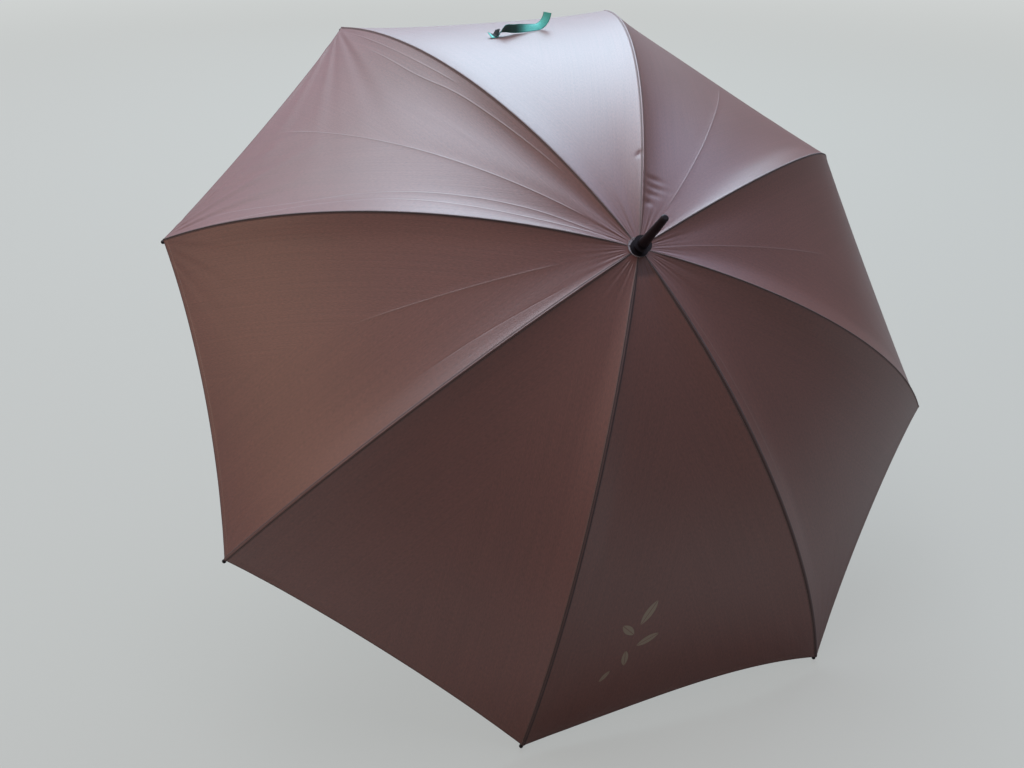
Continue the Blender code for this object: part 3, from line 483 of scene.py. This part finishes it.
def build_strap(ribbon):
    """Closing strap of ribbon, turned about its length and curled up at its free end."""
    rows = []
    for station in range(STRAP_STATIONS + 1):
        centre, _, wide, thick = strap_frame(station / STRAP_STATIONS)
        cup = STRAP_CUP * sin(3 * pi * station / STRAP_STATIONS)
        rows.append(
            [
                centre + wide * STRAP_WIDTH / 2 * u + thick * (0.0003 + cup * (u * u - 0.5))
                for u in np.linspace(1, -1, STRAP_COLUMNS)
            ]
        )
    places = np.array(rows)
    steps = np.linalg.norm(np.diff(places[:, STRAP_COLUMNS // 2], axis=0), axis=1)
    along = np.concatenate([[0], np.cumsum(steps)])
    strap = add_sheet_mesh("ribbon_strap", places, ribbon)
    widths = np.linspace(-1, 1, STRAP_COLUMNS) * STRAP_WIDTH / 2
    uv_layer(strap.data, *np.meshgrid(widths, along))
    thicken(strap, STRAP_THICK)
    finish_soft(strap, "strap")


def finish_soft(obj, replaced):
    """Lets a piece of the strap move with the cloth that it is sewn to."""
    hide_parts(replaced)
    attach(obj, "rib_3")
    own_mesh(obj)


def build_tape(hook_tape):
    """Hook tape sewn by one end to the strap, its other end standing up."""
    rows = []
    for station in range(TAPE_ROWS + 1):
        way = station / TAPE_ROWS
        share = TAPE_SHARES[0] + (TAPE_SHARES[1] - TAPE_SHARES[0]) * way
        centre, _, wide, thick = strap_frame(share)
        lift = 0.0007 + TAPE_RISE * way**1.6
        half = wide * TAPE_WIDTH / 2
        rows.append([centre + half * u + thick * lift for u in np.linspace(1, -1, TAPE_COLUMNS)])
    tape = add_sheet_mesh("hook_tape", np.array(rows), hook_tape)
    widths = np.linspace(-TAPE_WIDTH / 2, TAPE_WIDTH / 2, TAPE_COLUMNS)
    uv_layer(tape.data, *np.meshgrid(widths, np.linspace(0, TAPE_LENGTH, TAPE_ROWS + 1)))
    thicken(tape, TAPE_THICK)
    finish_soft(tape, "strap_patch")


def build_ring(material):
    """Crimped and pinked cloth ring pinched under the cap."""
    turns = np.linspace(0, 2 * pi, RING_POINTS + 1)[:-1]
    tooth = np.abs(((turns * RING_TEETH / (2 * pi)) % 1) - 0.5) * 2
    crimp = np.sin(turns * RING_TEETH + 1)
    rings = []
    for way in RING_WAYS:
        free = max(way, 0)
        radius = RING_RADIUS + 0.001 * way + (0.0006 - 0.0008 * tooth) * free
        x = radius * np.cos(turns) + RING_SHIFT[0]
        y = radius * np.sin(turns) + RING_SHIFT[1]
        z = RING_LEVEL + 0.0010 * free + 0.0005 * free * crimp
        ring = [CROWN + ACROSS_FLOOR * a + SHAFT_BACK * b + SHAFT_UP * c for a, b, c in zip(x, y, z)]
        rings.append(ring + ring[:1])
    ring = add_sheet_mesh("cap_ring", np.array(rings), material)
    bm = bmesh.new()
    bm.from_mesh(ring.data)
    bmesh.ops.remove_doubles(bm, verts=bm.verts, dist=0.000001)
    bm.to_mesh(ring.data)
    bm.free()
    thicken(ring, RING_THICK)
    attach(ring, "shaft")


# ---------------------------------------------------------------- materials


def colour(hexes):
    """sRGB hex to linear RGBA."""
    parts = [int(hexes[i : i + 2], 16) / 255 for i in (1, 3, 5)]
    return tuple(p / 12.92 if p <= 0.04045 else ((p + 0.055) / 1.055) ** 2.4 for p in parts) + (1,)


def new_material(name, **settings):
    """Material with its surface shader, whose sockets take the settings."""
    material = bpy.data.materials.new(name)
    material.use_nodes = True
    shader = material.node_tree.nodes["Principled BSDF"]
    for key, value in settings.items():
        shader.inputs[key.replace("_", " ")].default_value = value
    return material, shader


def node(material, kind, settings=None, **links):
    """Adds a node with its settings; links give the input and the socket or value."""
    made = material.node_tree.nodes.new(kind)
    for key, value in (settings or {}).items():
        setattr(made, key, value)
    for key, value in links.items():
        socket = made.inputs[int(key[1:]) if key[0] == "_" else key.replace("_", " ")]
        if isinstance(value, bpy.types.NodeSocket):
            material.node_tree.links.new(value, socket)
        else:
            socket.default_value = value
    return made


# Leaves printed on one panel: place across and along the cut in metres, turn in degrees, length
LEAVES = (
    (0.118, 0.452, 25, 0.034),
    (0.096, 0.470, -48, 0.027),
    (0.128, 0.492, 70, 0.030),
    (0.104, 0.512, -12, 0.024),
    (0.083, 0.532, 38, 0.018),
)


# Widths of the lines drawn on the cloth, in metres
STITCH_PITCH = 0.0025
STITCH_WIDTH = 0.00056
CREST_WIDTH = 0.0016
HEM_SHADOW = 0.0022


def leaf_print(material, uv):
    """Mask of a few plain pointed leaves, each where two discs meet."""
    mask = None
    for across, along, turn, length in LEAVES:
        place = node(
            material,
            "ShaderNodeMapping",
            {"vector_type": "TEXTURE"},
            Vector=uv.outputs[0],
            Location=(across, along, 0),
            Rotation=(0, 0, radians(turn)),
            Scale=(length / 2,) * 3,
        )
        half = node(material, "ShaderNodeVectorMath", {"operation": "ABSOLUTE"}, _0=place.outputs[0])
        moved = node(material, "ShaderNodeVectorMath", _0=half.outputs[0], _1=(1.2, 0, 0))
        reach = node(material, "ShaderNodeVectorMath", {"operation": "LENGTH"}, _0=moved.outputs[0])
        leaf = node(
            material,
            "ShaderNodeMapRange",
            Value=reach.outputs["Value"],
            From_Min=1.53,
            From_Max=1.58,
            To_Min=1.0,
            To_Max=0.0,
        )
        vein = node(material, "ShaderNodeSeparateXYZ", _0=half.outputs[0])
        clear = node(
            material, "ShaderNodeMath", {"operation": "GREATER_THAN"}, _0=vein.outputs[0], _1=0.025
        )
        leaf = node(
            material,
            "ShaderNodeMath",
            {"operation": "MULTIPLY"},
            _0=leaf.outputs[0],
            _1=clear.outputs[0],
        )
        mask = leaf if mask is None else node(
            material,
            "ShaderNodeMath",
            {"operation": "MAXIMUM"},
            _0=mask.outputs[0],
            _1=leaf.outputs[0],
        )
    return mask.outputs[0]


def stitch_lines(material, uv):
    """Mask of the sewing thread: a line of stitches beside each welt, and one above the hem."""
    split = node(material, "ShaderNodeSeparateXYZ", _0=uv.outputs[0])
    times = {"operation": "MULTIPLY"}
    lines = []
    # along the seam, and along the hem
    for layer, place, run in (("from_welt", 0.0003, 1), ("from_hem", 0.0062, 0)):
        away = node(material, "ShaderNodeAttribute", {"attribute_name": layer})
        near = node(
            material,
            "ShaderNodeMath",
            {"operation": "COMPARE"},
            _0=away.outputs["Fac"],
            _1=place,
            _2=STITCH_WIDTH / 2,
        )
        turns = node(material, "ShaderNodeMath", times, _0=split.outputs[run], _1=2 * pi / STITCH_PITCH)
        beat = node(material, "ShaderNodeMath", {"operation": "SINE"}, _0=turns.outputs[0])
        thread = node(
            material, "ShaderNodeMath", {"operation": "GREATER_THAN"}, _0=beat.outputs[0], _1=-0.5
        )
        lines.append(node(material, "ShaderNodeMath", times, _0=near.outputs[0], _1=thread.outputs[0]))
    both = node(
        material,
        "ShaderNodeMath",
        {"operation": "MAXIMUM"},
        _0=lines[0].outputs[0],
        _1=lines[1].outputs[0],
    )
    return both.outputs[0]


def fold_crests(material):
    """Mask of the sharp folds' crests, from the distances and strengths kept on the cloth."""
    crest = None
    for number in (1, 2):
        away = node(material, "ShaderNodeAttribute", {"attribute_name": f"fold_{number}"})
        strong = node(material, "ShaderNodeAttribute", {"attribute_name": f"fold_{number}_strength"})
        size = node(
            material, "ShaderNodeVectorMath", {"operation": "ABSOLUTE"}, _0=away.outputs["Vector"]
        )
        near = node(
            material,
            "ShaderNodeMapRange",
            {"data_type": "FLOAT_VECTOR", "interpolation_type": "SMOOTHSTEP"},
            _6=size.outputs[0],
            _7=(0, 0, 0),
            _8=(CREST_WIDTH,) * 3,
            _9=(1, 1, 1),
            _10=(0, 0, 0),
        )
        line = node(
            material,
            "ShaderNodeVectorMath",
            {"operation": "DOT_PRODUCT"},
            _0=near.outputs["Vector"],
            _1=strong.outputs["Vector"],
        )
        crest = line.outputs["Value"] if crest is None else node(
            material, "ShaderNodeMath", _0=crest, _1=line.outputs["Value"]
        ).outputs[0]
    return crest


def satin_polyester(name, printed=False, back=False):
    """Satin-woven polyester: brown threads, glossy on the face and duller on the back."""
    roughness = 0.62 if back else 0.43
    material, shader = new_material(
        name, Roughness=roughness, IOR=1.6, Specular_IOR_Level=0.5 if back else 1.0
    )
    link = material.node_tree.links.new
    uv = node(material, "ShaderNodeUVMap", {"uv_map": "cut"})
    mix = {"data_type": "RGBA"}
    # slow unevenness of the dye, a hand's breadth wide
    cloudy = node(material, "ShaderNodeTexNoise", Vector=uv.outputs[0], Scale=9.0, Detail=3.0)
    tone = node(
        material, "ShaderNodeMix", mix, _0=cloudy.outputs[0], _6=colour("#6f4038"), _7=colour("#7c4941")
    )
    # thicker threads that run with the ribs, 3 mm apart and 150 mm long
    drawn = node(material, "ShaderNodeMapping", Vector=uv.outputs[0], Scale=(330, 6.5, 1))
    streaks = node(material, "ShaderNodeTexNoise", Vector=drawn.outputs[0], Scale=1.0, Detail=3.0)
    # satin floats: 0.2 mm by 1 mm on the real cloth, drawn five times as coarse to show at all
    floats = node(material, "ShaderNodeMapping", Vector=uv.outputs[0], Scale=(1000, 210, 1))
    threads = node(material, "ShaderNodeTexNoise", Vector=floats.outputs[0], Scale=1.0, Detail=2.0)
    for grain, low, high in ((streaks, 0.92, 1.08), (threads, 0.8, 1.2)):
        shade = node(
            material,
            "ShaderNodeMapRange",
            Value=grain.outputs[0],
            From_Min=0.3,
            From_Max=0.7,
            To_Min=low,
            To_Max=high,
        )
        tone = node(
            material,
            "ShaderNodeMix",
            {"data_type": "RGBA", "blend_type": "MULTIPLY"},
            _0=1.0,
            _6=tone.outputs[2],
            _7=shade.outputs[0],
        )
    if printed:
        leaves = leaf_print(material, uv)
        mask = node(material, "ShaderNodeMath", {"operation": "MULTIPLY"}, _0=leaves, _1=0.75)
        tone = node(
            material, "ShaderNodeMix", mix, _0=mask.outputs[0], _6=tone.outputs[2], _7=colour("#a4987f")
        )
    crest = fold_crests(material)
    # the crests of the folds are painted paler: a painted highlight along each crest
    paler = node(
        material, "ShaderNodeMath", {"operation": "MULTIPLY", "use_clamp": True}, _0=crest, _1=0.5
    )
    crest_highlight = node(
        material, "ShaderNodeMix", mix, _0=paler.outputs[0], _6=tone.outputs[2], _7=colour("#9d8a86")
    )
    seam = node(material, "ShaderNodeAttribute", {"attribute_name": "seam_shade"})
    # the turned edge of the hem is dark too: painted shade of its fold
    hem = node(material, "ShaderNodeAttribute", {"attribute_name": "from_hem"})
    edge = node(
        material,
        "ShaderNodeMapRange",
        Value=hem.outputs["Fac"],
        From_Max=HEM_SHADOW,
        To_Min=0.8,
        To_Max=0.0,
    )
    shaded = node(
        material, "ShaderNodeMath", {"operation": "MAXIMUM"}, _0=seam.outputs["Fac"], _1=edge.outputs[0]
    )
    dark = node(
        material, "ShaderNodeMix", mix, _0=shaded.outputs[0], _6=crest_highlight.outputs[2], _7=colour("#2a1417")
    )
    # the seam lies in its own shadow and is dull with thread, so it takes little shine
    dull = node(
        material,
        "ShaderNodeMapRange",
        Value=shaded.outputs[0],
        To_Min=roughness,
        To_Max=0.9,
    )
    link(dull.outputs[0], shader.inputs["Roughness"])
    stitches = stitch_lines(material, uv)
    sewn = node(material, "ShaderNodeMix", mix, _0=stitches, _6=dark.outputs[2], _7=colour("#7d6058"))
    link(sewn.outputs[2], shader.inputs["Base Color"])
    weave = node(material, "ShaderNodeBump", Height=threads.outputs[0], Distance=0.0001)
    pulled = node(
        material, "ShaderNodeBump", Height=streaks.outputs[0], Distance=0.0001, Normal=weave.outputs[0]
    )
    bump = node(material, "ShaderNodeBump", Height=crest, Distance=0.0003, Normal=pulled.outputs[0])
    raised = node(material, "ShaderNodeBump", Height=stitches, Distance=0.0002, Normal=bump.outputs[0])
    link(raised.outputs[0], shader.inputs["Normal"])
    return material


def woven_ribbon():
    """Woven polyester ribbon in teal: fine ribs across it and firm darker selvedges."""
    material, shader = new_material("woven_ribbon", Roughness=0.5, Sheen_Weight=0.3, IOR=1.45)
    uv = node(material, "ShaderNodeUVMap", {"uv_map": "cut"})
    ribs = node(
        material,
        "ShaderNodeTexWave",
        {"bands_direction": "Y", "wave_profile": "SIN"},
        Vector=uv.outputs[0],
        Scale=1 / 0.0009 / 3.18,
    )
    split = node(material, "ShaderNodeSeparateXYZ", _0=uv.outputs[0])
    edge = node(material, "ShaderNodeMath", {"operation": "ABSOLUTE"}, _0=split.outputs[0])
    selvedge = node(
        material, "ShaderNodeMapRange", Value=edge.outputs[0], From_Min=0.0048, From_Max=0.0053
    )
    tone = node(
        material,
        "ShaderNodeMix",
        {"data_type": "RGBA"},
        _0=ribs.outputs["Fac"],
        _6=colour("#3bdcc8"),
        _7=colour("#86fbec"),
    )
    # painted shade: the stretch from 1 to 5 cm along is darker, where the ribbon turns away from the light, and it
    # fades out over a centimetre
    shaded_stretch = node(material, "ShaderNodeValToRGB", Fac=node(
        material, "ShaderNodeMapRange", Value=split.outputs[1], From_Max=0.1
    ).outputs[0])
    ramp = shaded_stretch.color_ramp
    ramp.elements[0].position, ramp.elements[0].color = 0.07, (0, 0, 0, 1)
    ramp.elements[1].position, ramp.elements[1].color = 0.13, (0.9, 0.9, 0.9, 1)
    for place, share in ((0.50, 0.85), (0.68, 0.0)):
        stop = ramp.elements.new(place)
        stop.color = (share, share, share, 1)
    dark = node(
        material,
        "ShaderNodeMix",
        {"data_type": "RGBA"},
        _0=shaded_stretch.outputs[0],
        _6=tone.outputs[2],
        _7=colour("#1f4a46"),
    )
    edged = node(
        material,
        "ShaderNodeMix",
        {"data_type": "RGBA"},
        _0=selvedge.outputs[0],
        _6=dark.outputs[2],
        _7=colour("#1fa394"),
    )
    material.node_tree.links.new(edged.outputs[2], shader.inputs["Base Color"])
    bump = node(material, "ShaderNodeBump", Height=ribs.outputs["Fac"], Distance=0.00015)
    material.node_tree.links.new(bump.outputs[0], shader.inputs["Normal"])
    return material


def hook_tape_nylon():
    """Nylon hook tape: dull, dark, rough with tiny hooks."""
    material, shader = new_material("hook_tape_nylon", Roughness=0.8)
    uv = node(material, "ShaderNodeUVMap", {"uv_map": "cut"})
    hooks = node(material, "ShaderNodeTexVoronoi", Vector=uv.outputs[0], Scale=1100.0)
    tone = node(
        material,
        "ShaderNodeMix",
        {"data_type": "RGBA"},
        _0=hooks.outputs["Distance"],
        _6=colour("#22302e"),
        _7=colour("#111918"),
    )
    material.node_tree.links.new(tone.outputs[2], shader.inputs["Base Color"])
    bump = node(material, "ShaderNodeBump", Height=hooks.outputs["Distance"], Distance=0.0003)
    material.node_tree.links.new(bump.outputs[0], shader.inputs["Normal"])
    return material


def ring_cloth_with_painted_highlight():
    """Polyester of the crimped ring, painted pale and speckled as a painted satin highlight: matt, faintly
    lavender.
    """
    material, shader = new_material("ring_cloth_painted_highlight", Roughness=0.6, Sheen_Weight=0.3)
    place = node(material, "ShaderNodeTexCoord")
    grain = node(material, "ShaderNodeTexNoise", Vector=place.outputs["Object"], Scale=600.0)
    tone = node(
        material,
        "ShaderNodeMix",
        {"data_type": "RGBA"},
        _0=grain.outputs[0],
        _6=colour("#a59ca6"),
        _7=colour("#fbf9fd"),
    )
    material.node_tree.links.new(tone.outputs[2], shader.inputs["Base Color"])
    return material


def moulded_plastic():
    """ABS, moulded and half glossy: broad soft lights, faint mould texture."""
    material, shader = new_material("moulded_plastic", Roughness=0.45, IOR=1.4)
    place = node(material, "ShaderNodeTexCoord")
    grain = node(
        material, "ShaderNodeTexNoise", Vector=place.outputs["Object"], Scale=900.0, Detail=2.0
    )
    tone = node(
        material,
        "ShaderNodeMix",
        {"data_type": "RGBA"},
        _0=grain.outputs[0],
        _6=colour("#10080e"),
        _7=colour("#190f16"),
    )
    material.node_tree.links.new(tone.outputs[2], shader.inputs["Base Color"])
    bump = node(material, "ShaderNodeBump", Height=grain.outputs[0], Distance=0.00004)
    material.node_tree.links.new(bump.outputs[0], shader.inputs["Normal"])
    return material


def drawn_steel(name, hexes, roughness):
    """Steel wire or strip, drawn through a die: a fine mottle in its tone, clear highlights."""
    material, shader = new_material(name, Metallic=1.0, Roughness=roughness)
    place = node(material, "ShaderNodeTexCoord")
    grain = node(
        material, "ShaderNodeTexNoise", Vector=place.outputs["Object"], Scale=400.0, Detail=3.0
    )
    tone = node(
        material,
        "ShaderNodeMix",
        {"data_type": "RGBA"},
        _0=grain.outputs[0],
        _6=colour(hexes[0]),
        _7=colour(hexes[1]),
    )
    material.node_tree.links.new(tone.outputs[2], shader.inputs["Base Color"])
    return material


# ---------------------------------------------------------------- stage


def build_camera():
    """Camera at the photograph's place and angle."""
    look = Vector(
        (
            sin(CAMERA_TURN) * cos(CAMERA_DOWN),
            cos(CAMERA_TURN) * cos(CAMERA_DOWN),
            -sin(CAMERA_DOWN),
        )
    )
    right = look.cross(Vector((0, 0, 1))).normalized()
    above = right.cross(look)
    right, above = (
        right * cos(CAMERA_ROLL) + above * sin(CAMERA_ROLL),
        above * cos(CAMERA_ROLL) - right * sin(CAMERA_ROLL),
    )
    data = bpy.data.cameras.new("camera")
    data.sensor_width = 36
    data.lens = CAMERA_LENS
    camera = bpy.data.objects.new("camera", data)
    camera.matrix_world = Matrix((right, above, -look)).transposed().to_4x4()
    camera.matrix_world.translation = CAMERA_PLACE
    bpy.context.scene.collection.objects.link(camera)
    bpy.context.scene.camera = camera


# Soft lamps: place, side of the square in metres, power, colour. All point at the canopy's middle.
LAMPS = {
    "window": ((1.60, 2.77, 3.43), 2.8, 142, "#d2edff"),
    "skylight": ((-0.55, 1.51, 4.54), 2.8, 82, "#e6eeff"),
    "high_window": ((1.08, 1.54, 4.41), 2.8, 27, "#e4f0ff"),
    "far_left": ((-1.78, 2.12, 3.84), 2.8, 31, "#e2f8ff"),
    "low_back": ((0.85, 4.0, 1.88), 2.8, 20, "#cfe6ff"),
    "left_back": ((-1.46, 3.56, 2.32), 2.8, 20, "#eadffa"),
    "right": ((2.14, -0.19, 4.27), 2.8, 17, "#e4d8fa"),
    "right_back": ((2.94, 0.96, 3.54), 2.0, 19, "#c0d2ff"),
    "lamp": ((-3.88, 0.34, 2.37), 2.8, 21, "#ffd4b0"),
    "front": ((-2.15, -2.15, 3.59), 2.8, 12, "#ffc8b4"),
}
LAMP_TARGET = Vector((0, 0, 0.5))


def build_lamps():
    for name, (place, side, power, hexes) in LAMPS.items():
        data = bpy.data.lights.new(name, "AREA")
        data.shape = "RECTANGLE"
        data.size = data.size_y = side
        data.energy = power
        data.color = colour(hexes)[:3]
        light = bpy.data.objects.new(name, data)
        light.location = place
        light.rotation_euler = (LAMP_TARGET - Vector(place)).to_track_quat("-Z", "Y").to_euler()
        bpy.context.scene.collection.objects.link(light)


def build_floor():
    """Plain pale floor under the rib tips and the crook."""
    bpy.ops.object.select_all(action="DESELECT")
    bpy.ops.mesh.primitive_plane_add(size=60, location=(0, 0, -0.0004))
    floor = bpy.context.active_object
    floor.name = "floor"
    bpy.ops.object.transform_apply(location=True, rotation=True, scale=True)
    material, shader = new_material("pale_floor", Roughness=0.9)
    shader.inputs["Base Color"].default_value = colour("#a6a39a")
    # near the umbrella the floor takes its shadow, and further off it turns into an even pale field
    rays = node(material, "ShaderNodeLightPath")
    place = node(material, "ShaderNodeTexCoord")
    away = node(material, "ShaderNodeVectorMath", {"operation": "LENGTH"}, _0=place.outputs["Object"])
    far = node(
        material,
        "ShaderNodeMapRange",
        {"interpolation_type": "SMOOTHSTEP"},
        Value=away.outputs["Value"],
        From_Min=1.0,
        From_Max=7.0,
        To_Min=0.6,
        To_Max=1.0,
    )
    seen = node(
        material,
        "ShaderNodeMath",
        {"operation": "MULTIPLY"},
        _0=rays.outputs["Is Camera Ray"],
        _1=far.outputs[0],
    )
    even = node(material, "ShaderNodeEmission", Color=colour(PALE_FIELD), Strength=1.0)
    mixed = node(
        material, "ShaderNodeMixShader", _0=seen.outputs[0], _1=shader.outputs[0], _2=even.outputs[0]
    )
    out = material.node_tree.nodes["Material Output"]
    material.node_tree.links.new(mixed.outputs[0], out.inputs[0])
    floor.data.materials.append(material)


def build_world():
    """Even soft light, and behind it the pale field for what is seen or mirrored."""
    world = bpy.data.worlds.new("studio")
    bpy.context.scene.world = world
    world.use_nodes = True
    world.node_tree.nodes.clear()
    rays = node(world, "ShaderNodeLightPath")
    # satin at a low angle would mirror the whole field too brightly
    gloss = node(
        world,
        "ShaderNodeMath",
        {"operation": "MULTIPLY"},
        _0=rays.outputs["Is Glossy Ray"],
        _1=GLOSSY_SHARE,
    )
    pale_share = gloss.outputs[0]
    for ray in ("Is Camera Ray", "Is Transmission Ray"):
        pale_share = node(
            world, "ShaderNodeMath", {"operation": "MAXIMUM"}, _0=pale_share, _1=rays.outputs[ray]
        ).outputs[0]
    soft = node(world, "ShaderNodeBackground", Color=colour("#e8eaf0"), Strength=0.15)
    pale = node(world, "ShaderNodeBackground", Color=colour(PALE_FIELD), Strength=1.0)
    mixed = node(
        world, "ShaderNodeMixShader", _0=pale_share, _1=soft.outputs[0], _2=pale.outputs[0]
    )
    node(world, "ShaderNodeOutputWorld", _0=mixed.outputs[0])


def main():
    bpy.context.scene.view_settings.view_transform = "Standard"
    build_camera()
    cloth = satin_polyester("satin_polyester")
    printed = satin_polyester("printed_satin_polyester", printed=True)
    inside = satin_polyester("satin_polyester_back", back=True)
    for rib in RIBS:
        build_canopy(rib, printed if rib == 6 else cloth, inside)
    build_strap(woven_ribbon())
    build_tape(hook_tape_nylon())
    build_ring(ring_cloth_with_painted_highlight())
    plastic = moulded_plastic()
    rib_steel = drawn_steel("drawn_spring_steel", ("#a9a9ac", "#bdbdc0"), 0.36)
    tube_steel = drawn_steel("plated_tube_steel", ("#c9c9cc", "#d6d6d8"), 0.2)
    wire_steel = drawn_steel("bright_wire_steel", ("#c2c2c4", "#cdcdcf"), 0.25)
    finishes = {
        "black_plastic": plastic,
        "rib_steel": rib_steel,
        "shaft_steel": tube_steel,
        "wire_steel": wire_steel,
    }
    for part in frame["record"]["subparts"]:
        finish = finishes.get(part["material_slot"])
        if finish:
            for place in frame["nodes"][part["node"]].material_slots:
                place.material = finish
    build_floor()
    build_world()
    build_lamps()


main()
